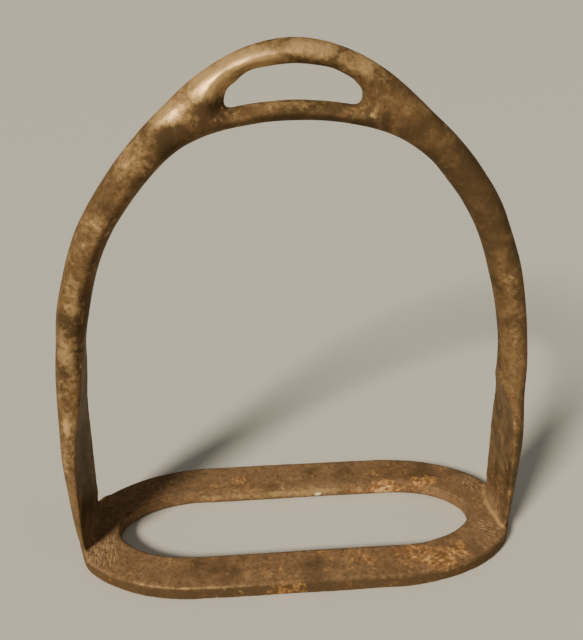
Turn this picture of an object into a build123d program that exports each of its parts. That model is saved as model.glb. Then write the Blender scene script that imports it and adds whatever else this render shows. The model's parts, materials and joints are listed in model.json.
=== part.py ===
from build123d import *
import os

# A forged English riding stirrup iron.  Millimetres, +X along the tread, +Y to
# the back, +Z up.  The origin is the centre of the tread's underside.

# --- driving dimensions -------------------------------------------------------
clear_width = 120.65        # between the branch feet: a 4 3/4 inch iron
foot_thickness = 4.0        # branch foot, across the iron
tread_length = clear_width + 2 * foot_thickness
tread_depth = 48.0          # front to back
tread_thickness = 5.2
side_band = 11.4            # width of the tread's two long bands
end_band = 12.7             # width of the tread where a foot stands on it
outer_straight = 52.0       # straight stretch of the tread's outer edge
opening_straight = 58.2     # straight stretch of the opening's edge
top_edge_radius = 0.6
bottom_edge_radius = 1.6

eye_width = 30.4            # leather slot, for a 28 mm stirrup leather
eye_shoulder_radius = 4.0
eye_corner_radius = 1.5
eye_bottom_corner = 124.4   # heights above the tread's underside
eye_bottom_crown = 126.1
eye_shoulder = 129.0
eye_top_crown = 134.1
eye_wall = 1.4              # half depth of the slot's straight wall
eye_flare_angle = 42.0      # the wall opens out to the front and back faces
eye_flare_reach = 8.0       # the flare runs this far, past the bar's faces

scoop_top = 53.0            # where the flat inner face of a branch runs out
scoop_top_x = 53.6
scoop_middle = (57.1, 45.0)
scoop_bend = 38.0           # below this height the inner face is nearly upright
scoop_bend_x = 58.2

scarf_inner_height = 47.0   # slanting weld line that joins bow and branch foot
scarf_inner_x = 53.5
scarf_outer_height = 31.0
scarf_outer_x = 63.5
foot_depth = 19.8           # front to back at the tread
housing_depth = 1.5         # each foot stands this deep in the tread's top

fillet_size = 2.2           # weld metal in the corner of foot and tread
fillet_slope = 42.0         # it leans in towards the foot at this angle
fillet_end_gap = 1.2        # it stops this far short of the foot's rounded ends
fillet_root = 1.2           # it starts this far inside the foot, which is cut from it

# Cutting shapes for a branch reach past it on every side, to these limits.
cut_inner_x = 40.0
cut_outer_x = 70.0
cut_low_z = -5.0

# The bar from a foot to the crown: x and z of its centre, its thickness across
# the iron and its depth from front to back.
bar_stations = [
    (58.8, 1.0, 8.5, 19.4),
    (58.8, 8.0, 8.7, 19.5),
    (58.8, 17.0, 9.0, 19.4),
    (58.8, 27.0, 9.0, 19.1),
    (58.7, 37.0, 8.6, 18.3),
    (58.2, 46.0, 7.9, 15.0),
    (57.7, 55.0, 7.3, 11.8),
    (56.6, 64.0, 7.1, 10.4),
    (54.2, 76.0, 6.9, 9.7),
    (50.5, 88.6, 6.8, 9.2),
    (44.1, 101.9, 6.9, 9.0),
    (36.1, 112.3, 7.3, 9.0),
    (26.2, 121.1, 9.2, 9.4),
    (13.9, 127.6, 14.2, 9.8),
]
crown_station = (0.0, 130.4, 17.0, 9.6)


def bar_section(centre, direction, thickness, depth):
    """Oval across the bar: its short axis lies in the plane of the iron."""
    across = Vector(-direction.Z, 0, direction.X)
    plane = Plane(origin=centre, x_dir=across, z_dir=direction)
    return plane * Ellipse(thickness / 2, depth / 2)


def forged_bar():
    """The whole bar from foot to foot, before the eye is cut and it is divided."""
    left = [(-x, z, thickness, depth) for x, z, thickness, depth in bar_stations]
    stations = bar_stations + [crown_station] + left[::-1]
    centres = [Vector(x, 0, z) for x, z, _, _ in stations]
    sections = []
    for index, (_, _, thickness, depth) in enumerate(stations):
        before = centres[max(index - 1, 0)]
        after = centres[min(index + 1, len(centres) - 1)]
        direction = (after - before).normalized()
        sections.append(bar_section(centres[index], direction, thickness, depth))
    return loft(sections)


def eye_outline():
    """Half-moon outline of the leather slot, in the plane of the iron."""
    half = eye_width / 2
    top = ThreePointArc((-half, eye_shoulder), (0, eye_top_crown), (half, eye_shoulder))
    right = Line((half, eye_shoulder), (half, eye_bottom_corner))
    bottom = ThreePointArc(
        (half, eye_bottom_corner),
        (0, eye_bottom_crown),
        (-half, eye_bottom_corner),
    )
    left = Line((-half, eye_bottom_corner), (-half, eye_shoulder))
    face = make_face([top, right, bottom, left])
    corners = face.vertices().sort_by(Axis.Y)
    face = fillet(corners[2:], eye_shoulder_radius)
    corners = face.vertices().sort_by(Axis.Y)
    return fillet(corners[:2], eye_corner_radius)


def eye_cutter():
    """Slot through the crown, its rims flared so that the two bars are rounded."""
    outline = eye_outline()
    wall = Plane.XZ * extrude(outline, amount=eye_wall, both=True)
    front_plane = Plane(origin=(0, -eye_wall, 0), x_dir=(1, 0, 0), z_dir=(0, -1, 0))
    flare = extrude(front_plane * outline, amount=eye_flare_reach, taper=-eye_flare_angle)
    return wall + flare + mirror(flare, about=Plane.XZ)


def prism(points, half_depth):
    """Solid whose outline in the plane of the iron is a polygon."""
    outline = make_face(Polyline(*points, close=True))
    return Plane.XZ * extrude(outline, amount=half_depth, both=True)


def scoop_cutter():
    """Removes the inner side of the right branch, and leaves a flat inner face."""
    foot_x = clear_width / 2
    run_out = ThreePointArc((scoop_top_x, scoop_top), scoop_middle, (scoop_bend_x, scoop_bend))
    upright = Line((scoop_bend_x, scoop_bend), (foot_x, 0))
    inside = Polyline(
        (foot_x, 0),
        (cut_inner_x, 0),
        (cut_inner_x, scoop_top),
        (scoop_top_x, scoop_top),
    )
    outline = make_face([run_out, upright, inside])
    return Plane.XZ * extrude(outline, amount=tread_depth, both=True)


def scarf_height(x):
    """Height of the right branch's weld line at this place across the iron."""
    slope = (scarf_outer_height - scarf_inner_height) / (scarf_outer_x - scarf_inner_x)
    return scarf_inner_height + slope * (x - scarf_inner_x)


def scarf_cutter():
    """Everything in the right branch that lies below its slanting weld line."""
    corners = [
        (cut_inner_x, cut_low_z),
        (cut_outer_x, cut_low_z),
        (cut_outer_x, scarf_height(cut_outer_x)),
        (cut_inner_x, scarf_height(cut_inner_x)),
    ]
    return prism(corners, tread_depth)


def housing_cutter():
    """Everything in the right branch that lies below its housing in the tread."""
    floor_z = tread_thickness - housing_depth
    corners = [
        (cut_inner_x, cut_low_z),
        (cut_outer_x, cut_low_z),
        (cut_outer_x, floor_z),
        (cut_inner_x, floor_z),
    ]
    return prism(corners, tread_depth)


def both_sides(right_piece):
    return right_piece, mirror(right_piece, about=Plane.YZ)


def make_bow(bar):
    """Crown, leather eye, shoulders and limbs, down to the two scarf welds."""
    right_scarf, left_scarf = both_sides(scarf_cutter())
    right_scoop, left_scoop = both_sides(scoop_cutter())
    return bar - eye_cutter() - right_scarf - left_scarf - right_scoop - left_scoop


def make_right_branch_foot(bar):
    """Flat-faced lower branch, which stands in the tread's housing."""
    return (bar & scarf_cutter()) - scoop_cutter() - housing_cutter()


def oval_outline(length, depth, straight):
    """Two straight sides joined by half ellipses."""
    half_straight = straight / 2
    half_depth = depth / 2
    cap = length / 2 - half_straight
    right = EllipticalCenterArc((half_straight, 0), cap, half_depth, start_angle=-90, arc_size=180)
    left = EllipticalCenterArc((-half_straight, 0), cap, half_depth, start_angle=90, arc_size=180)
    back = Line((half_straight, half_depth), (-half_straight, half_depth))
    front = Line((-half_straight, -half_depth), (half_straight, -half_depth))
    return make_face([right, back, left, front])


def make_tread_ring(feet):
    """Open oval tread, with a housing in its top for each branch foot."""
    outer = oval_outline(tread_length, tread_depth, outer_straight)
    opening_length = tread_length - 2 * end_band
    opening_depth = tread_depth - 2 * side_band
    opening = oval_outline(opening_length, opening_depth, opening_straight)
    ring = extrude(outer - opening, amount=tread_thickness)
    top_edges = ring.faces().sort_by(Axis.Z)[-1].edges()
    ring = fillet(top_edges, top_edge_radius)
    bottom_edges = ring.faces().sort_by(Axis.Z)[0].edges()
    ring = fillet(bottom_edges, bottom_edge_radius)
    return ring - feet[0] - feet[1]


def make_right_foot_fillet(foot):
    """Weld metal in the corner between the foot's flat face and the tread."""
    foot_x = clear_width / 2
    half_run = foot_depth / 2 - fillet_end_gap
    root_x = foot_x + fillet_root
    toe = ThreePointArc((foot_x, half_run), (foot_x - fillet_size, 0), (foot_x, -half_run))
    rear = Polyline(
        (foot_x, -half_run),
        (root_x, -half_run),
        (root_x, half_run),
        (foot_x, half_run),
    )
    outline = Pos(0, 0, tread_thickness) * make_face([toe, rear])
    wedge = extrude(outline, amount=fillet_size, taper=fillet_slope)
    outside_foot = (wedge - foot).solids().sort_by(Axis.X)
    return outside_foot[0]


bar = forged_bar()
right_foot, left_foot = both_sides(make_right_branch_foot(bar))
right_fillet, left_fillet = both_sides(make_right_foot_fillet(right_foot))

nodes = {
    "bow": make_bow(bar),
    "right_branch_foot": right_foot,
    "left_branch_foot": left_foot,
    "tread_ring": make_tread_ring([right_foot, left_foot]),
    "right_foot_fillet": right_fillet,
    "left_foot_fillet": left_fillet,
}

os.makedirs("parts", exist_ok=True)
for name, solid in nodes.items():
    export_step(solid, f"parts/{name}.step")
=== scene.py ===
import json
import math

import bmesh
import bpy
import numpy as np
from mathutils import Matrix, Vector


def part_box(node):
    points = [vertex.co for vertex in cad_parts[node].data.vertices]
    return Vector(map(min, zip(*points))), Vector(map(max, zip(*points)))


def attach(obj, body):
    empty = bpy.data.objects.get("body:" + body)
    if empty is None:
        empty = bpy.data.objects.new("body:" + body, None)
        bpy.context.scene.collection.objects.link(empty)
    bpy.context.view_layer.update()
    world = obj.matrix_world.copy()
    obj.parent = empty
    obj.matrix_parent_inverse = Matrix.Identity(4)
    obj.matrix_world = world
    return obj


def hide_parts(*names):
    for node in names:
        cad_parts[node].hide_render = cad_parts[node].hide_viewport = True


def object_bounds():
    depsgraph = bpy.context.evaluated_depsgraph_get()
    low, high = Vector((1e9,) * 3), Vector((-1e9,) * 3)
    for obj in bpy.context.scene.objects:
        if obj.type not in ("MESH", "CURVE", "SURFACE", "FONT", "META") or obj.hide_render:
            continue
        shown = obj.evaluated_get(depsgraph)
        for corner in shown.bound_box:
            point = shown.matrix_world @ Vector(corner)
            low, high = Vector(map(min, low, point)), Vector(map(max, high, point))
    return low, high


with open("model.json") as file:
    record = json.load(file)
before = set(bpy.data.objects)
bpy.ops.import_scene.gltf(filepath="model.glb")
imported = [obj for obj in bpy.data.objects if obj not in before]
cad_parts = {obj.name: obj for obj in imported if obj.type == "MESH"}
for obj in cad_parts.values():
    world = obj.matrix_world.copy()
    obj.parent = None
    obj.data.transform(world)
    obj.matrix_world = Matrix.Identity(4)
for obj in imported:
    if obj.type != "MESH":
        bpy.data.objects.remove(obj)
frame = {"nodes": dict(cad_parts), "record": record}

cad_low, cad_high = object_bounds()
MM = 0.001

# --- camera -------------------------------------------------------------------
IMAGE_HEIGHT = 640
FOCAL_PIXELS = 711.0
SENSOR = 36.0
CAMERA_YAW = math.radians(3.30)
CAMERA_PITCH = math.radians(29.35)
CAMERA_ROLL = math.radians(-0.84)
CAMERA_DISTANCE = 178.2 * MM
CAMERA_TARGET = Vector((-0.45, 0.0, 72.3)) * MM
CLIP_START = 1 * MM


def make_camera():
    yaw, pitch, roll = CAMERA_YAW, CAMERA_PITCH, CAMERA_ROLL
    forward = Vector((
        math.sin(yaw) * math.cos(pitch),
        math.cos(yaw) * math.cos(pitch),
        -math.sin(pitch),
    ))
    level = Vector((math.cos(yaw), -math.sin(yaw), 0.0))
    upright = level.cross(forward)
    right = math.cos(roll) * level + math.sin(roll) * upright
    up = math.cos(roll) * upright - math.sin(roll) * level
    data = bpy.data.cameras.new("camera")
    data.sensor_fit = "AUTO"
    data.sensor_width = SENSOR
    data.lens = FOCAL_PIXELS * SENSOR / IMAGE_HEIGHT
    data.clip_start = CLIP_START
    camera = bpy.data.objects.new("camera", data)
    turn = Matrix((right, up, -forward)).transposed().to_4x4()
    camera.matrix_world = Matrix.Translation(CAMERA_TARGET - forward * CAMERA_DISTANCE) @ turn
    bpy.context.scene.collection.objects.link(camera)
    bpy.context.scene.camera = camera


make_camera()

# --- the iron's places, worked out from the frame --------------------------------
TREAD_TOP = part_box("tread_ring")[1].z
foot_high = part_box("right_branch_foot")[1]
fillet_low, fillet_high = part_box("right_foot_fillet")
VOXEL = 0.35 * MM


def mesh_object(name, mesh):
    piece = bpy.data.objects.new(name, mesh)
    bpy.context.scene.collection.objects.link(piece)
    return piece


def apply_modifiers(piece):
    """Turns the piece's modifiers into plain mesh."""
    graph = bpy.context.evaluated_depsgraph_get()
    mesh = bpy.data.meshes.new_from_object(piece.evaluated_get(graph))
    piece.modifiers.clear()
    old = piece.data
    piece.data = mesh
    bpy.data.meshes.remove(old)


def join_copies(nodes, name):
    """One mesh object that holds copies of the given CAD nodes."""
    points, faces = [], []
    for node in nodes:
        mesh = frame["nodes"][node].data
        start = len(points)
        points += [v.co.copy() for v in mesh.vertices]
        faces += [[start + i for i in f.vertices] for f in mesh.polygons]
    mesh = bpy.data.meshes.new(name)
    mesh.from_pydata(points, [], faces)
    return mesh_object(name, mesh)


def remesh(piece, size):
    voxel = piece.modifiers.new("voxel", "REMESH")
    voxel.mode = "VOXEL"
    voxel.voxel_size = size
    apply_modifiers(piece)


def read_points(mesh):
    points = np.empty(len(mesh.vertices) * 3)
    mesh.vertices.foreach_get("co", points)
    return points.reshape(-1, 3)


def read_normals(mesh):
    normals = np.empty(len(mesh.vertices) * 3)
    mesh.vertex_normals.foreach_get("vector", normals)
    return normals.reshape(-1, 3)


def write_points(mesh, points):
    mesh.vertices.foreach_set("co", points.ravel())
    mesh.update()


def read_edges(mesh):
    edges = np.empty(len(mesh.edges) * 2, dtype=np.int64)
    mesh.edges.foreach_get("vertices", edges)
    return edges.reshape(-1, 2)


def smooth(points, edges, weight, rounds):
    """Moves each point towards its neighbours' mean, by its own weight."""
    first, second = edges[:, 0], edges[:, 1]
    count = len(points)
    degree = np.bincount(first, minlength=count) + np.bincount(second, minlength=count)
    for _ in range(rounds):
        total = np.stack([
            np.bincount(first, points[second, axis], count)
            + np.bincount(second, points[first, axis], count)
            for axis in range(3)
        ], axis=1)
        mean = total / degree[:, None]
        points = points + weight[:, None] * (mean - points)
    return points


# --- noise on points ----------------------------------------------------------------
def hashed(cells, seed):
    """A repeatable number from 0 to 1 for each whole-number cell."""
    x, y, z = (cells[:, axis].astype(np.int64) for axis in range(3))
    mixed = x * 374761393 + y * 668265263 + z * 1274126177 + seed * 974634777
    mixed = (mixed ^ (mixed >> 13)) & 0xFFFFFFFF
    mixed = (mixed * 1103515245 + 12345) & 0xFFFFFFFF
    mixed = (mixed ^ (mixed >> 16)) & 0xFFFFFFFF
    mixed = (mixed * 2246822519) & 0xFFFFFFFF
    return ((mixed ^ (mixed >> 15)) & 0xFFFFFF) / float(0xFFFFFF)


def noise(points, scale, seed):
    """Smooth noise from -1 to 1 whose lumps are about one scale across."""
    grid = points / scale
    cell = np.floor(grid)
    part = grid - cell
    part = part * part * (3 - 2 * part)
    total = np.zeros(len(points))
    for corner in np.ndindex(2, 2, 2):
        corner = np.array(corner)
        share = np.prod(np.where(corner == 1, part, 1 - part), axis=1)
        total += share * hashed(cell + corner, seed)
    return 2 * total - 1


def pits(points, spacing, seed, share):
    """Depth from 0 to 1 of round pits, one in some cells of a jittered grid."""
    cell = np.floor(points / spacing)
    depth = np.zeros(len(points))
    for offset in np.ndindex(3, 3, 3):
        there = cell + (np.array(offset) - 1)
        centre = np.stack([hashed(there, seed + axis) for axis in range(3)], axis=1)
        radius = spacing * (0.25 + 0.3 * hashed(there, seed + 3))
        present = hashed(there, seed + 4) < share
        distance = np.linalg.norm(points - (there + centre) * spacing, axis=1)
        bowl = np.clip(1 - (distance / radius) ** 2, 0, 1)
        depth = np.maximum(depth, np.where(present, bowl, 0))
    return depth


def near(points, centre, reach):
    """1 at the centre, fading to 0 past the reach, which may differ by axis."""
    away = (points - np.array(centre) * MM) / (np.array(reach) * MM)
    return np.exp(-np.sum(away * away, axis=1))


def ramp(value, low, high):
    step = np.clip((value - low) / (high - low), 0, 1)
    return step * step * (3 - 2 * step)


# --- shape of the iron --------------------------------------------------------------
IRON = [
    "bow",
    "left_branch_foot",
    "right_branch_foot",
    "tread_ring",
    "left_foot_fillet",
    "right_foot_fillet",
]
SMOOTH_ROUNDS = 7
EYE_ROUNDS = 7
FOOT_ROUNDS = 36


def soften(points, edges):
    """Rounds the edges: a little all over, more at the eye, feet's outsides and welds."""
    height = points[:, 2] / MM
    softness = 0.2 + 0.3 * ramp(height, 5, 12)
    points = smooth(points, edges, softness, SMOOTH_ROUNDS)
    crown = ramp(height, 112, 122)
    points = smooth(points, edges, 0.5 * crown, EYE_ROUNDS)
    outside = ramp(np.abs(points[:, 0]) / MM, 60.8, 62.4) * (1 - ramp(height, 12, 20))
    welds = near(points, (59.5, 0, 6), (2.5, 10, 2)) + near(points, (-59.5, 0, 6), (2.5, 10, 2))
    return smooth(points, edges, np.clip(0.6 * outside + 0.5 * welds, 0, 0.6), FOOT_ROUNDS)


# The left limb's inner side is forged flat: this face's place across the iron, by height.
LEFT_FACE_HEIGHTS = (16, 24, 32, 37, 41.5, 46, 51, 55, 63, 72, 85)
LEFT_FACE_PLACES = (-59.5, -59.1, -58.5, -57.9, -57.2, -56.3, -55.3, -54.5, -53.1, -51.2, -48)
LEFT_FOOT_SHIFT = (0.1, 1.9)                    # how far back: its front edge, its back edge
LEFT_FOOT_TURN = 0.5                            # how far its back edge turns inwards
TREAD_ENDS = [(-1, -7, 1.0), (1, -6, 0.7)]      # side, middle along Y, how much shorter

# Where a limb is fuller than its twin: which side of the iron, whether on the limb's
# outer (1) or inner (-1) face, from which height to which, and by how much (less, if
# below 0).
FULLER = [
    (-1, 1, 66, 112, 0.45),
    (-1, 1, 0, 34, 0.12),
    (1, 1, 46, 98, 0.50),
    (1, -1, 72, 120, 0.65),
    (1, -1, 38, 76, -0.45),
    (1, 1, 90, 130, 0.35),
]

# Where the slot's wall stands further into the slot, or less far (below 0): the middle
# and reach of the place, which way (x and z) its wall faces, and how much.
SLOT_WALLS = [
    ((0, 0, 132), (13, 40, 4), (0, -1), 0.5),
    ((-8.8, 0, 132.4), (3, 40, 2.5), (0, -1), -0.4),
    ((8.3, 0, 132.5), (2.5, 40, 2.5), (0, -1), -0.25),
    ((-14.8, 0, 127.9), (2.5, 40, 2.6), (1, 0), 0.60),
    ((-12.8, 0, 130.2), (2.2, 40, 1.8), (0.7, -0.7), 0.45),
    ((13.9, 0, 129.6), (2.2, 40, 1.5), (-1, 0), 0.45),
]

# The bar's swellings on its inner side: their middle and reach, and how thick they are.
SWELLINGS = [((-36, 0, 104), (16, 40, 13), 0.8), ((-52, 0, 84), (9, 40, 14), 0.4)]
ARCH_CENTRE = np.array((0, 0, 75)) * MM
BOW_LEAN = 0.6
TINY = 1e-9                                     # keeps a division from being by 0


def swell_inside(points, normals):
    """The left shoulder and the limb below it, thicker on the side that faces inwards."""
    inward = ARCH_CENTRE - points
    inward[:, 1] = 0
    inward /= np.linalg.norm(inward, axis=1)[:, None] + TINY
    inner_face = ramp(np.sum(inward * normals, axis=1), 0.0, 0.8)
    thicker = sum(amount * near(points, place, reach) for place, reach, amount in SWELLINGS)
    return points + normals * (thicker * inner_face * MM)[:, None]


def make_fuller(moved, points, normals):
    x, _, z = points.T / MM
    for side, face, low, high, amount in FULLER:
        outward = side * face * normals[:, 0]
        there = ramp(side * x, 30, 36) * ramp(z, low, low + 14) * (1 - ramp(z, high - 16, high))
        moved[:, 0] += side * face * amount * MM * there * ramp(outward, 0.0, 0.7)


def flatten_left_limb(x, z, facing_right):
    """Places across the iron, with the left limb's inner side made flat."""
    face = np.interp(z, LEFT_FACE_HEIGHTS, LEFT_FACE_PLACES)
    zone = ramp(z, 14, 24) * (1 - ramp(z, 60, 75)) * ramp(-x, 45, 48)
    fuller = x + 1.2 * ramp(facing_right, 0.0, 0.6)
    return x + zone * (np.minimum(fuller, face) - x)


def lean_right(moved, points):
    """Leans the bow's upper half, but less so the crown's right side."""
    x, _, z = points.T / MM
    crown_right = ramp(z, 112, 124) * ramp(x, 5, 20)
    moved[:, 0] += BOW_LEAN * ramp(z, 55, 105) * (1 - 0.5 * crown_right) * MM


def reshape_slot(moved, points, normals):
    for place, reach, (along_x, along_z), amount in SLOT_WALLS:
        facing = along_x * normals[:, 0] + along_z * normals[:, 2]
        push = amount * MM * near(points, place, reach) * ramp(facing, 0.2, 0.8)
        moved[:, 0] += along_x * push
        moved[:, 2] += along_z * push


def shorten_tread(moved, points):
    x, y, z = points.T / MM
    for side, middle, amount in TREAD_ENDS:
        end = ramp(side * x, 58, 63.5) * (1 - ramp(z, 5.0, 8.0)) * np.exp(-((y - middle) / 10) ** 2)
        moved[:, 0] -= side * amount * MM * end


def turn_left_foot(moved, points):
    """Shifts the left foot back, its back edge most, and turns that edge inwards."""
    x, y, z = points.T / MM
    left_foot = ramp(-x, 54, 58) * ramp(z, 3.5, 5.0) * (1 - ramp(z, 28, 52))
    left_foot *= 1 - ramp(np.abs(y), 11, 15)
    front_shift, back_shift = LEFT_FOOT_SHIFT
    shift = front_shift + (back_shift - front_shift) * ramp(y, -6, 6)
    moved[:, 1] += shift * MM * left_foot
    moved[:, 0] += LEFT_FOOT_TURN * MM * left_foot * ramp(y, -3, 9)


def hand_forged(points, normals):
    """The skin's points, moved to where this iron differs from a symmetric one."""
    moved = swell_inside(points, normals)
    make_fuller(moved, points, normals)
    flat = flatten_left_limb(moved[:, 0] / MM, points[:, 2] / MM, normals[:, 0])
    moved[:, 0] = flat * MM
    lean_right(moved, points)
    reshape_slot(moved, points, normals)
    shorten_tread(moved, points)
    turn_left_foot(moved, points)
    return moved


# Patches of short cuts in the tread's top, for grip: their middle and reach, the
# direction that the cuts run in, the space from one to the next, and their length.
GRIPS = [
    ((-55.5, -9.5, 5), (6.0, 6.5, 2.0), 92, 0.85, 3.0),
    ((55.3, -8.5, 5), (3.4, 3.6, 2.0), -28, 1.1, 2.6),
    ((54.4, 9.8, 5), (1.8, 3.6, 2.0), 60, 1.3, 2.2),
    ((55.6, 9.8, 5), (1.8, 3.6, 2.0), 118, 1.3, 2.2),
]


def strokes(points, angle, pitch, length, seed):
    """Depth from 0 to 1 of short cuts that lie side by side at this angle."""
    along = (points[:, 0] * math.cos(angle) + points[:, 1] * math.sin(angle)) / MM
    across = (points[:, 1] * math.cos(angle) - points[:, 0] * math.sin(angle)) / MM
    depth = np.zeros(len(points))
    row = np.floor(across / pitch)
    for shift in (-1, 0, 1):
        line = row + shift
        offset = hashed(np.stack([line, line * 0, line * 0], axis=1), seed)
        place = along / length + offset
        cell = np.floor(place)
        key = np.stack([line, cell, line * 0], axis=1)
        wander = (hashed(key, seed + 1) - 0.5) * 0.5
        tilt = (hashed(key, seed + 2) - 0.5) * 0.4
        part = place - cell - 0.5
        middle = (line + 0.5 + wander) * pitch + tilt * part * length
        width = 0.14 + 0.12 * hashed(key, seed + 3)
        half = 0.28 + 0.2 * hashed(key, seed + 4)
        cut = np.exp(-((across - middle) / width) ** 2) * (1 - ramp(np.abs(part), half - 0.1, half))
        depth = np.maximum(depth, cut * (hashed(key, seed + 5) < 0.85))
    return depth


def grip_cuts(points, normals):
    """Depth from 0 to 1 of the strokes cut into the top of the tread's two ends."""
    depth = np.zeros(len(points))
    for index, (middle, reach, angle, pitch, length) in enumerate(GRIPS):
        patch = ramp(near(points, middle, reach), 0.25, 0.5)
        cuts = strokes(points, math.radians(angle), pitch, length, 30 + 10 * index)
        depth = np.maximum(depth, patch * cuts)
    return ramp(normals[:, 2], 0.6, 0.9) * depth


GRIP_DEPTH = 0.16


def relief(points, normals):
    """How far each point stands out, in millimetres: hammering, pits, grip strokes."""
    on_tread = 1 - ramp(points[:, 2], TREAD_TOP + 2 * MM, TREAD_TOP + 12 * MM)
    height = 0.10 * noise(points, 11 * MM, 1) + 0.05 * noise(points, 5 * MM, 2)
    height += (0.015 + 0.02 * on_tread) * noise(points, 1.7 * MM, 3)
    height += (0.006 + 0.014 * on_tread) * noise(points, 0.8 * MM, 4)
    patchy = ramp(noise(points, 14 * MM, 5), -0.3, 0.6)
    height -= (0.04 + 0.06 * on_tread) * patchy * pits(points, 2.6 * MM, 6, 0.45)
    height -= (0.03 + 0.04 * on_tread) * pits(points, 1.3 * MM, 16, 0.3)
    return height - GRIP_DEPTH * grip_cuts(points, normals)


def in_grip(points):
    inside = np.zeros(len(points), dtype=bool)
    for middle, reach, *_ in GRIPS:
        inside |= near(points, middle, reach) > 0.2
    return inside & (np.abs(points[:, 2] - TREAD_TOP) < 1.0 * MM)


def refine_grips(mesh):
    """Divides the faces where the grip strokes are cut, so that they come out sharp."""
    chosen = in_grip(read_points(mesh))
    shape = bmesh.new()
    shape.from_mesh(mesh)
    edges = [e for e in shape.edges if chosen[e.verts[0].index] and chosen[e.verts[1].index]]
    bmesh.ops.subdivide_edges(shape, edges=edges, cuts=2, use_grid_fill=True)
    bmesh.ops.triangulate(shape, faces=[f for f in shape.faces if len(f.verts) > 4])
    shape.to_mesh(mesh)
    shape.free()


BOX_MARGIN = 0.02 * MM


def keep_in_box(points):
    """Keeps the points inside the CAD's box, on its underside or a little within."""
    low = np.array(cad_low) + BOX_MARGIN
    high = np.array(cad_high) - BOX_MARGIN
    low[2] = cad_low.z
    return np.clip(points, low, high)


def make_whole_iron():
    """The iron as one skin, from which the separate pieces are then cut."""
    whole = join_copies(IRON, "whole_iron")
    remesh(whole, VOXEL)
    mesh = whole.data
    write_points(mesh, soften(read_points(mesh), read_edges(mesh)))
    write_points(mesh, hand_forged(read_points(mesh), read_normals(mesh)))
    refine_grips(mesh)
    points, normals = read_points(mesh), read_normals(mesh)
    height = relief(points, normals) * MM
    write_points(mesh, keep_in_box(points + normals * height[:, None]))
    mesh.polygons.foreach_set("use_smooth", [True] * len(mesh.polygons))
    return whole


# --- cutting the skin into its pieces ------------------------------------------------
SCARF_INNER = Vector((53.5, 47.0)) * MM
SCARF_OUTER = Vector((63.5, 31.0)) * MM
HOUSING = 1.5 * MM
FOOT_FACE = fillet_high.x - 0.1 * MM

# The cutting solids reach past the iron on every side, to these limits.
ROOM_NEAR = 40 * MM
ROOM_FAR = 75 * MM
ROOM_TOP = 160 * MM
ROOM_HALF_DEPTH = 60 * MM


def scarf_height(x):
    slope = (SCARF_OUTER.y - SCARF_INNER.y) / (SCARF_OUTER.x - SCARF_INNER.x)
    return SCARF_INNER.y + slope * (x - SCARF_INNER.x)


def prism(name, outline, half_depth, side=1):
    """A closed solid whose outline, seen from the front, is this polygon."""
    shape = bmesh.new()
    front = [shape.verts.new((side * x, -half_depth, z)) for x, z in outline]
    back = [shape.verts.new((side * x, half_depth, z)) for x, z in outline]
    shape.faces.new(front)
    shape.faces.new(back[::-1])
    for index in range(len(outline)):
        follower = (index + 1) % len(outline)
        shape.faces.new((front[follower], front[index], back[index], back[follower]))
    bmesh.ops.recalc_face_normals(shape, faces=shape.faces)
    mesh = bpy.data.meshes.new(name)
    shape.to_mesh(mesh)
    shape.free()
    return mesh_object(name, mesh)


def rectangle(low_x, low_z, high_x, high_z):
    return [(low_x, low_z), (high_x, low_z), (high_x, high_z), (low_x, high_z)]


def combine(piece, other, operation):
    cut = piece.modifiers.new("cut", "BOOLEAN")
    cut.operation = operation
    cut.solver = "MANIFOLD"
    cut.object = other
    apply_modifiers(piece)


def carve(name, source, keep=None, remove=()):
    """A new piece: the part of the source inside one solid and outside the others."""
    piece = mesh_object(name, source.data.copy())
    if keep:
        combine(piece, keep, "INTERSECT")
    for solid in remove:
        combine(piece, solid, "DIFFERENCE")
    return piece


def bow_room():
    """Where the bow is: above both scarf welds."""
    right = [
        (ROOM_NEAR, scarf_height(ROOM_NEAR)),
        (ROOM_FAR, scarf_height(ROOM_FAR)),
        (ROOM_FAR, ROOM_TOP),
    ]
    left = [(-x, z) for x, z in reversed(right)]
    return prism("bow_room", right + left, ROOM_HALF_DEPTH)


def foot_room(side):
    """Where a branch foot is: above the tread, and in its housing in the tread."""
    above = TREAD_TOP + 0.6 * MM
    outline = [
        (ROOM_NEAR, above),
        (ROOM_FAR, above),
        (ROOM_FAR, scarf_height(ROOM_FAR)),
        (ROOM_NEAR, scarf_height(ROOM_NEAR)),
    ]
    room = prism("foot_room", outline, ROOM_HALF_DEPTH, side)
    housing_floor = TREAD_TOP - HOUSING
    footprint = rectangle(FOOT_FACE, housing_floor, foot_high.x, above + 0.1 * MM)
    housing = prism("housing", footprint, foot_high.y + 0.4 * MM, side)
    combine(room, housing, "UNION")
    bpy.data.objects.remove(housing)
    return room


def fillet_room(side):
    """Where the weld metal is: in the corner of the foot's flat face and the tread."""
    floor = TREAD_TOP - 0.3 * MM
    outline = rectangle(fillet_low.x - 0.3 * MM, floor, FOOT_FACE, fillet_high.z + 0.6 * MM)
    return prism("fillet_room", outline, fillet_high.y + 0.5 * MM, side)


def drop_crumbs(mesh):
    """Leaves only the largest loose part of a mesh."""
    shape = bmesh.new()
    shape.from_mesh(mesh)
    unseen = set(shape.verts)
    parts = []
    while unseen:
        start = unseen.pop()
        part, to_visit = [start], [start]
        while to_visit:
            vert = to_visit.pop()
            for edge in vert.link_edges:
                other = edge.other_vert(vert)
                if other in unseen:
                    unseen.remove(other)
                    part.append(other)
                    to_visit.append(other)
        parts.append(part)
    parts.sort(key=len)
    crumbs = [vert for part in parts[:-1] for vert in part]
    bmesh.ops.delete(shape, geom=crumbs, context="VERTS")
    shape.to_mesh(mesh)
    shape.free()


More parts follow.
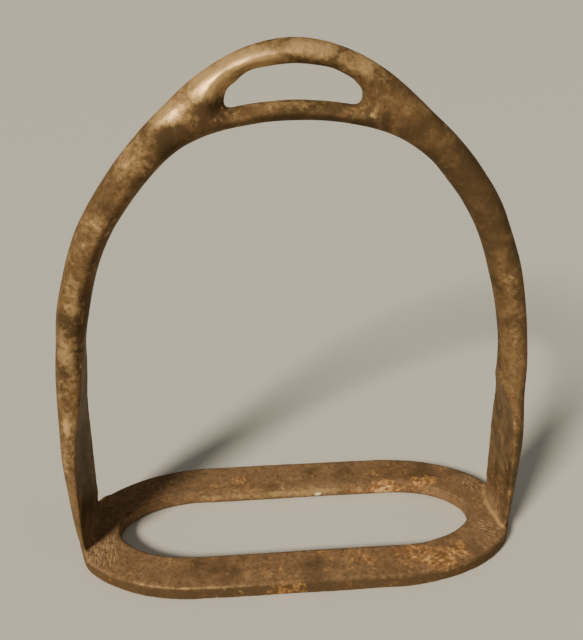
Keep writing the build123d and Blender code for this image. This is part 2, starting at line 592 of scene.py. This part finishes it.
def make_pieces(whole):
    """Cuts the skin where the real pieces meet, and returns them by node name."""
    bow_space = bow_room()
    feet = {"left": foot_room(-1), "right": foot_room(1)}
    fillets = {"left": fillet_room(-1), "right": fillet_room(1)}
    pieces = {"bow": carve("iron_bow", whole, bow_space)}
    others = [bow_space, *feet.values(), *fillets.values()]
    pieces["tread_ring"] = carve("iron_tread_ring", whole, None, others)
    for hand in ("left", "right"):
        foot = carve(f"iron_{hand}_foot", whole, feet[hand], [fillets[hand]])
        pieces[f"{hand}_branch_foot"] = foot
        pieces[f"{hand}_foot_fillet"] = carve(f"iron_{hand}_fillet", whole, fillets[hand])
    for solid in others:
        bpy.data.objects.remove(solid)
    bpy.data.objects.remove(whole)
    for piece in pieces.values():
        drop_crumbs(piece.data)
    return pieces


# --- wear and rust, kept on the points ------------------------------------------------
# Places in millimetres: the middle, the reach along x, y and z, and the strength.  These
# are rubbed through to the metal, except the three marked on the lower bar under the slot, which
# are painted highlight.
RUBBED_AND_HIGHLIGHT_SPOTS = [
    ((-17.5, -4, 131), (8, 9, 4), 0.95),
    ((-27, -5, 125), (7, 9, 4), 0.80),
    ((-9, -5, 135), (10, 9, 3), 0.95),
    ((4, -5, 137), (9, 9, 3), 0.72),
    ((15, -5, 134), (9, 9, 4), 0.60),
    ((-35, -5, 116), (7, 9, 5), 0.48),
    ((-44, -5, 101), (3, 9, 4), 0.35),
    ((-58.3, -8, 48.5), (2.2, 5, 4.5), 0.50),
    ((-58.7, -8, 47.5), (1.3, 5, 3.2), 0.90),
    ((-52.5, -5, 82), (3, 9, 8), 0.45),
    ((-55.5, -5, 68), (3, 9, 8), 0.48),
    ((-57.5, -6, 58), (3, 9, 6), 0.35),
    ((-61, -7, 38), (2, 6, 8), 0.35),
    # These three: painted highlight on the lit upper face of the lower bar under the slot.
    ((14, -5, 124.4), (5, 9, 1.6), 0.35),
    ((0, -5, 126), (16, 9, 1.4), 0.45),
    ((-13, -5, 124.6), (4, 9, 1.5), 0.25),
    ((52, -5, 84), (3, 9, 8), 0.3),
    ((56, -5, 70), (3, 9, 8), 0.25),
    ((-56, -9, 5), (5, 6, 3), 0.35),
    ((-51, -16, 5), (3, 2, 3), 0.5),
]
# Rust blooms.
RUSTY = [
    ((18, -17, 5), (6, 4, 3), 0.6),
    ((36, -18, 5), (13, 5, 4), 0.60),
    ((38, -19, 5), (6, 3.5, 3), 1.15),
    ((45, -16, 5), (4, 3, 3), 0.8),
    ((31, -15, 5), (6, 3, 3), 0.85),
    ((8, -15, 5), (4, 3, 3), 0.45),
    ((-10, -18, 5), (8, 4, 3), 0.45),
    ((-30, -15, 5), (8, 3, 3), 0.4),
    ((-14, 15, 5), (5, 5, 4), 0.6),
    ((17.6, 12.6, 2), (4, 2, 3), 0.6),
    ((28.7, 12.6, 3), (6, 2, 3), 1.2),
    ((41, 12.6, 4), (6, 2, 3), 1.1),
    ((-4, -24, 3), (6, 3, 5), 0.6),
    ((30, 18, 5), (9, 4, 4), 0.5),
    ((-25, 14, 3), (12, 4, 4), 0.35),
    ((57, -10, 14), (6, 6, 9), 0.25),
    ((60, 0, 12), (3, 9, 10), 0.25),
    ((-50, -17, 5), (6, 5, 5), 0.35),
    ((20, -20, 4), (30, 6, 5), 0.25),
]
# Rubbed lines and painted highlight lines: their two ends, their reach and their strength.
RUBBED_AND_HIGHLIGHT_LINES = [
    # Painted highlight along the toe of the right foot's weld fillet, whose hollow faces the lamp.
    ((59.9, 10.3, 6.2), (58.7, 7.5, 5.4), 1.20, 0.50),
    ((58.7, 7.5, 5.4), (57.9, 4.0, 5.2), 1.10, 0.58),
    ((57.9, 4.0, 5.2), (57.9, 0.5, 5.2), 1.00, 0.66),
    ((57.9, 0.5, 5.2), (58.4, -3.5, 5.2), 0.90, 0.72),
    ((58.4, -3.5, 5.2), (59.4, -8.6, 5.2), 0.75, 0.70),
    # Painted highlight along the lit ridge of the lower bar under the slot, and its tapered ends.
    ((-16, -4.5, 123.3), (-12.2, -4.5, 125.0), 0.65, 0.85),
    ((-12.2, -4.5, 125.0), (-7, -4, 125.6), 1.0, 0.65),
    ((-7, -4, 125.6), (9.8, -4, 125.6), 1.0, 0.60),
    ((14.5, -4, 124.9), (17.5, -4.5, 122.9), 0.65, 0.85),
    # Painted highlight along the rim where the right limb's round bar runs out into its flat face.
    ((55.0, -6.0, 48.0), (55.6, -7.0, 46.0), 0.60, 0.55),
    ((55.6, -7.0, 46.0), (56.7, -7.6, 44.2), 0.65, 0.70),
    ((56.7, -7.6, 44.2), (57.9, -8.2, 42.3), 0.60, 0.75),
    # The tread's rubbed front-left top edge, with a painted highlight along it.
    ((-56, -14.9, 5.1), (-50, -18.6, 5.1), 0.45, 0.45),
    ((-50, -18.6, 5.1), (-42, -21.7, 5.1), 0.45, 0.48),
    ((-42, -21.7, 5.1), (-34, -23.4, 5.1), 0.45, 0.50),
    ((-34, -23.4, 5.1), (-24, -23.9, 5.1), 0.45, 0.50),
    ((-24, -23.9, 5.1), (-2, -23.9, 5.1), 0.45, 0.48),
    ((-28, 12.6, 3.0), (46, 12.6, 3.0), 1.8, 0.60),
]
# Places that are painted darker: darker patina, and painted shade where marked.
DARK = [
    ((44, -4, 102), (12, 9, 16), 1.3),
    ((54, -4, 80), (4, 9, 10), 0.5),
    ((33, -4, 113), (10, 9, 8), 0.8),
    ((-18.3, -4.5, 125.4), (2.3, 6, 1.1), 1.0),
    ((-24.5, -4.5, 121.6), (3.4, 6, 1.4), 1.1),
    ((-21.3, -1, 130.3), (2.2, 4, 1.3), 1.0),
    ((-24, -2, 116), (9, 9, 3), 0.6),
    ((29, -4, 121), (7, 9, 5), 0.9),
    ((6, 20, 5), (12, 6, 3), 0.5),
    ((40, 20, 5), (16, 8, 3), 0.45),
    ((-30, -19, 5), (20, 4, 3), 0.4),
    ((3, -17, 5), (8, 6, 3), 0.4),
    # These two: painted shade on the left foot's flat inner face and the left limb's inner side,
    # which face away from the lamp.
    ((-58.4, 3, 28), (1.8, 9, 24), 1.0),
    ((-55, 4, 58), (1.5, 5, 10), 0.6),
    # Painted shade on the underside of the lower bar below the slot.
    ((0, -1, 122), (20, 9, 1.6), 0.8),
    ((60.2, -8.8, 31), (1.6, 2.2, 9), 1.0),
]
# A fleck of dust on the opening's back wall.
PALE = [((7.8, 12.6, 1.9), (1.15, 0.6, 0.75), 1.5)]


def spots(points, places):
    """At each point, the strongest of the places there."""
    strength = np.zeros(len(points))
    for centre, reach, amount in places:
        strength = np.maximum(strength, amount * near(points, centre, reach))
    return strength


def lines(points, places):
    """The same for lines."""
    strength = np.zeros(len(points))
    for start, end, reach, amount in places:
        start, end = np.array(start) * MM, np.array(end) * MM
        along = np.clip((points - start) @ (end - start) / np.sum((end - start) ** 2), 0, 1)
        away = np.linalg.norm(points - start - along[:, None] * (end - start), axis=1)
        strength = np.maximum(strength, amount * np.exp(-(away / (reach * MM)) ** 2))
    return strength


def store(mesh, name, values):
    layer = mesh.attributes.new(name, "FLOAT", "POINT")
    layer.data.foreach_set("value", np.clip(values, 0, 1))


FULL_BULGE = 0.12 * MM


def bulge(mesh):
    """From -1 in hollows to 1 on ridges, from how far the neighbours fall away."""
    points, normals, edges = read_points(mesh), read_normals(mesh), read_edges(mesh)
    mean = smooth(points, edges, np.ones(len(points)), 3)
    return np.clip(np.sum((points - mean) * normals, axis=1) / FULL_BULGE, -1, 1)


# The tread's outline: half its straight stretch, the reach of a rounded end past that,
# and half its depth.
STRAIGHT_HALF = 26 * MM
CAP_REACH = 38.3 * MM
TREAD_HALF_DEPTH = 24 * MM


def outer_wall_shade(points, normals):
    """1 on the tread's outer wall, which gets painted shade."""
    past_straight = np.maximum(np.abs(points[:, 0]) - STRAIGHT_HALF, 0) / CAP_REACH
    away = ramp(np.hypot(past_straight, points[:, 1] / TREAD_HALF_DEPTH), 0.86, 0.95)
    below = 1 - ramp(points[:, 2], TREAD_TOP, TREAD_TOP + 2 * MM)
    return (1 - np.abs(normals[:, 2])) * away * below


def mark_surface(piece):
    """Stores what the material needs to know at each point."""
    mesh = piece.data
    points, normals = read_points(mesh), read_normals(mesh)
    ridge = bulge(mesh)
    # Rubbed places together with the painted highlight lines and spots.
    store(mesh, "worn", np.maximum(spots(points, RUBBED_AND_HIGHLIGHT_SPOTS), lines(points, RUBBED_AND_HIGHLIGHT_LINES)))
    # Darker places, some of them painted shade.
    store(mesh, "dark", spots(points, DARK))
    store(mesh, "pale", spots(points, PALE))
    store(mesh, "rusty", spots(points, RUSTY))
    store(mesh, "ridge", ridge)
    store(mesh, "hollow", -ridge)
    store(mesh, "cut", grip_cuts(points, normals))
    store(mesh, "tread", 1 - ramp(points[:, 2], TREAD_TOP, TREAD_TOP + 14 * MM))
    # The tread's outer wall, for painted shade.
    store(mesh, "side", outer_wall_shade(points, normals))


# --- material -----------------------------------------------------------------------
class Shader:
    """Adds nodes to one new material."""

    def __init__(self, name):
        self.material = bpy.data.materials.new(name)
        self.material.use_nodes = True
        self.tree = self.material.node_tree
        self.surface = self.tree.nodes["Principled BSDF"]
        self.place = self.add("ShaderNodeTexCoord").outputs["Object"]

    def add(self, kind):
        return self.tree.nodes.new(kind)

    def plug(self, value, socket):
        if isinstance(value, bpy.types.NodeSocket):
            self.tree.links.new(value, socket)
        else:
            socket.default_value = value

    def marked(self, name):
        node = self.add("ShaderNodeAttribute")
        node.attribute_name = name
        return node.outputs["Fac"]

    def noise(self, size, detail, roughness, distortion=0.0, seed=0.0):
        """Noise whose lumps are about this many metres across."""
        node = self.add("ShaderNodeTexNoise")
        node.noise_dimensions = "4D"
        self.plug(self.place, node.inputs["Vector"])
        node.inputs["W"].default_value = seed
        node.inputs["Scale"].default_value = 1 / size
        node.inputs["Detail"].default_value = detail
        node.inputs["Roughness"].default_value = roughness
        node.inputs["Distortion"].default_value = distortion
        return node.outputs["Fac"]

    def step(self, value, low, high, low_value=0.0, high_value=1.0):
        """A smooth step of the value from low to high."""
        node = self.add("ShaderNodeMapRange")
        node.interpolation_type = "SMOOTHSTEP"
        self.plug(value, node.inputs["Value"])
        node.inputs["From Min"].default_value = low
        node.inputs["From Max"].default_value = high
        node.inputs["To Min"].default_value = low_value
        node.inputs["To Max"].default_value = high_value
        return node.outputs["Result"]

    def math(self, operation, first, second):
        node = self.add("ShaderNodeMath")
        node.operation = operation
        self.plug(first, node.inputs[0])
        self.plug(second, node.inputs[1])
        return node.outputs[0]

    def times(self, first, second):
        return self.math("MULTIPLY", first, second)

    def plus(self, first, second):
        return self.math("ADD", first, second)

    def less(self, first, second):
        return self.math("SUBTRACT", first, second)

    def blend(self, share, first, second):
        """The first colour where the share is 0, the second where it is 1."""
        node = self.add("ShaderNodeMix")
        node.data_type = "RGBA"
        self.plug(share, node.inputs[0])
        self.plug(first, node.inputs[6])
        self.plug(second, node.inputs[7])
        return node.outputs[2]

    def number(self, share, first, second):
        """The same for plain numbers."""
        node = self.add("ShaderNodeMix")
        self.plug(share, node.inputs[0])
        self.plug(first, node.inputs[2])
        self.plug(second, node.inputs[3])
        return node.outputs[0]

    def bump(self, height, depth, under=None):
        """Fine relief, this many metres deep from the height's 0 to its 1."""
        node = self.add("ShaderNodeBump")
        node.inputs["Strength"].default_value = 1.0
        node.inputs["Distance"].default_value = depth
        self.plug(height, node.inputs["Height"])
        if under:
            self.plug(under, node.inputs["Normal"])
        return node.outputs["Normal"]


DARK_PATINA_AND_SHADE = (0.073, 0.046, 0.023, 1)
PATINA = (0.190, 0.112, 0.052, 1)
PATINA_LIGHT = (0.305, 0.195, 0.098, 1)
TREAD_BROWN = (0.245, 0.146, 0.082, 1)
BRONZED_AND_HIGHLIGHT = (0.640, 0.425, 0.200, 1)
FLAKE = (0.480, 0.350, 0.200, 1)
RUST_BROWN = (0.210, 0.098, 0.040, 1)
RUST_ORANGE = (0.450, 0.222, 0.080, 1)
RUST_TAN = (0.720, 0.465, 0.215, 1)
HOLLOW_DARK = (0.034, 0.023, 0.011, 1)
DUST = (0.800, 0.740, 0.520, 1)
EDGE_TINT = (0.78, 0.60, 0.42, 1)


class Iron(Shader):
    """Brown patina, rubbed through to bronze-coloured metal, with rust on the tread, and with
    painted highlight lines and painted shade in the same colours.
    """

    def __init__(self, name):
        super().__init__(name)
        self.worn, self.rusty = self.marked("worn"), self.marked("rusty")
        self.tread, self.dark = self.marked("tread"), self.marked("dark")
        self.broad = self.noise(9 * MM, 5, 0.6, 0.4, 1)
        self.cloud = self.noise(3.0 * MM, 8, 0.68, 0.8, 2)
        self.mottle = self.noise(1.1 * MM, 6, 0.7, 0.3, 3)
        self.grain = self.noise(0.28 * MM, 4, 0.7, 0.0, 4)
        self.from_cloud = self.less(self.cloud, 0.5)
        self.from_mottle = self.less(self.mottle, 0.5)
        self.from_grain = self.less(self.grain, 0.5)

    def mixed(self, start, *amounts):
        """The start, plus each pair's value times its factor."""
        for value, factor in amounts:
            start = self.plus(start, self.times(value, factor))
        return start

    def patina(self):
        colour = self.blend(self.step(self.broad, 0.35, 0.65), DARK_PATINA_AND_SHADE, PATINA)
        colour = self.blend(self.times(self.tread, 0.8), colour, TREAD_BROWN)
        colour = self.blend(self.step(self.cloud, 0.46, 0.72, 0.0, 0.8), colour, PATINA_LIGHT)
        under_broad = self.less(0.5, self.broad)
        # Darker at the listed dark places, some of them painted shade, and in random mottles.
        darkened = self.mixed(self.dark, (under_broad, 3.2), (self.from_mottle, 1.6))
        colour = self.blend(self.step(darkened, 0.05, 0.85, 0.0, 0.7), colour, DARK_PATINA_AND_SHADE)
        colour = self.blend(self.step(self.mottle, 0.56, 0.36, 0.0, 0.6), colour, DARK_PATINA_AND_SHADE)
        # Painted shade on the tread's outer wall.
        return self.blend(self.times(self.marked("side"), 0.80), colour, DARK_PATINA_AND_SHADE)

    def bareness_and_highlight(self):
        """0 on whole patina, 1 where it is rubbed through or has a painted highlight."""
        rubbed = self.mixed(self.worn, (self.from_cloud, 0.95), (self.from_mottle, 0.7))
        rubbed = self.less(rubbed, self.times(self.rusty, 0.5))
        rubbed = self.less(rubbed, self.times(self.dark, 0.3))
        return self.step(rubbed, 0.14, 0.90)

    def rust_share(self):
        rusting = self.mixed(self.rusty, (self.from_cloud, 2.2), (self.from_mottle, 1.0))
        return self.step(rusting, 0.22, 0.95, 0.0, 0.9)

    def rust_colour(self):
        """Brown to fresh orange, with tan crumbs where the rust is thickest."""
        fresh = self.mixed(self.cloud, (self.from_mottle, 0.6))
        colour = self.blend(self.step(fresh, 0.42, 0.66), RUST_BROWN, RUST_ORANGE)
        crumbs = self.mixed(
            self.times(self.rusty, 0.25),
            (self.from_cloud, 0.8),
            (self.from_mottle, 1.0),
            (self.from_grain, 0.4),
        )
        return self.blend(self.step(crumbs, 0.20, 0.42), colour, RUST_TAN)

    def with_edges(self, colour):
        """Darker in the hollows, and rims that are bright on the limbs, dark on the tread."""
        hollow = self.step(self.marked("hollow"), 0.20, 0.9, 0.0, 0.6)
        colour = self.blend(hollow, colour, HOLLOW_DARK)
        rim = self.step(self.marked("ridge"), 0.35, 0.95)
        on_limb = self.times(self.times(rim, self.less(1.0, self.tread)), 0.06)
        colour = self.blend(on_limb, colour, BRONZED_AND_HIGHLIGHT)
        on_tread = self.times(self.times(rim, self.tread), self.less(0.5, self.worn))
        return self.blend(self.step(on_tread, 0.0, 0.5, 0.0, 0.6), colour, DARK_PATINA_AND_SHADE)

    def with_specks(self, colour):
        """Pale cut marks and specks, and one fleck of dust."""
        colour = self.blend(self.times(self.marked("cut"), 0.45), colour, FLAKE)
        speckled = self.mixed(self.mottle, (self.from_grain, 0.8))
        colour = self.blend(self.step(speckled, 0.69, 0.76, 0.0, 0.6), colour, FLAKE)
        return self.blend(self.step(self.marked("pale"), 0.5, 0.8), colour, DUST)

    def colour(self, bare_and_highlight, rust):
        # The bronze colour also carries the painted highlight lines and spots.
        colour = self.blend(self.times(bare_and_highlight, 0.85), self.patina(), BRONZED_AND_HIGHLIGHT)
        flaking = self.mixed(self.cloud, (self.from_mottle, 0.7))
        colour = self.blend(self.step(flaking, 0.66, 0.74, 0.0, 0.55), colour, FLAKE)
        colour = self.blend(rust, colour, self.rust_colour())
        return self.with_specks(self.with_edges(colour))

    def roughness(self, bare_and_highlight, rust):
        rough = self.number(bare_and_highlight, self.number(self.tread, 0.44, 0.62), 0.31)
        rough = self.less(rough, self.step(self.worn, 0.50, 0.85, 0.0, 0.15))
        return self.mixed(self.number(rust, rough, 0.82), (self.from_mottle, 0.4))

    def build(self):
        bare_and_highlight, rust = self.bareness_and_highlight(), self.rust_share()
        metal = self.number(rust, self.number(bare_and_highlight, 0.05, 0.45), 0.0)
        self.plug(self.colour(bare_and_highlight, rust), self.surface.inputs["Base Color"])
        self.plug(metal, self.surface.inputs["Metallic"])
        self.plug(self.roughness(bare_and_highlight, rust), self.surface.inputs["Roughness"])
        self.surface.inputs["Specular IOR Level"].default_value = 0.02
        self.surface.inputs["Specular Tint"].default_value = EDGE_TINT
        coarse = self.bump(self.mottle, 0.12 * MM)
        fine = self.bump(self.grain, 0.06 * MM, coarse)
        self.plug(fine, self.surface.inputs["Normal"])
        return self.material


def finish_pieces(pieces):
    slots = {part["node"]: part["material_slot"] for part in frame["record"]["subparts"]}
    made = {}
    for node, piece in pieces.items():
        slot = slots[node]
        if slot not in made:
            made[slot] = Iron(slot).build()
        mark_surface(piece)
        piece.data.materials.clear()
        piece.data.materials.append(made[slot])
        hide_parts(node)
        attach(piece, "root")


# --- floor and light ------------------------------------------------------------------
FLOOR_SIZE = 14.0
KEY_DIRECTION = Vector((-0.527, -0.607, 0.595))
KEY_STRENGTH = 4.6
KEY_SPREAD = 13                                 # degrees across, for soft shadows
KEY_COLOUR = (1.0, 0.90, 0.70)
FILL_TARGET = Vector((0, 0, 60)) * MM
FILL_DIRECTION = Vector((0.6, -0.3, 0.9))
FILL_DISTANCE = 0.9
FILL_SIZE = 0.6
FILL_POWER = 0.5
FILL_COLOUR = (1.0, 0.92, 0.78)
WORLD_COLOUR = (0.92, 0.88, 0.76, 1)
WORLD_STRENGTH = 0.20
PAPER_DARK = (0.56, 0.55, 0.52, 1)
PAPER_LIGHT = (0.60, 0.59, 0.56, 1)


def make_floor():
    shape = bmesh.new()
    bmesh.ops.create_grid(shape, x_segments=1, y_segments=1, size=FLOOR_SIZE / 2)
    mesh = bpy.data.meshes.new("floor")
    shape.to_mesh(mesh)
    shape.free()
    floor = mesh_object("floor", mesh)
    shader = Shader("floor")
    shader.surface.inputs["Roughness"].default_value = 0.9
    paper = shader.noise(4 * MM, 3, 0.5)
    tint = shader.blend(paper, PAPER_DARK, PAPER_LIGHT)
    shader.plug(tint, shader.surface.inputs["Base Color"])
    mesh.materials.append(shader.material)


def aim(lamp, direction):
    """Turns the lamp so that its light comes from this direction."""
    lamp.rotation_euler = direction.to_track_quat("Z", "Y").to_euler()
    bpy.context.scene.collection.objects.link(lamp)


def make_key():
    """A sun, which is equally strong over the whole floor."""
    data = bpy.data.lights.new("key", "SUN")
    data.energy = KEY_STRENGTH
    data.angle = math.radians(KEY_SPREAD)
    data.color = KEY_COLOUR
    aim(bpy.data.objects.new("key", data), KEY_DIRECTION)


def make_fill():
    """A square soft lamp that faces the iron."""
    data = bpy.data.lights.new("fill", "AREA")
    data.size = FILL_SIZE
    data.energy = FILL_POWER
    data.color = FILL_COLOUR
    lamp = bpy.data.objects.new("fill", data)
    lamp.location = FILL_TARGET + FILL_DIRECTION.normalized() * FILL_DISTANCE
    aim(lamp, FILL_DIRECTION)


def make_world():
    world = bpy.data.worlds.new("studio")
    world.use_nodes = True
    background = world.node_tree.nodes["Background"]
    background.inputs["Color"].default_value = WORLD_COLOUR
    background.inputs["Strength"].default_value = WORLD_STRENGTH
    bpy.context.scene.world = world


finish_pieces(make_pieces(make_whole_iron()))
make_floor()
make_key()
make_fill()
make_world()
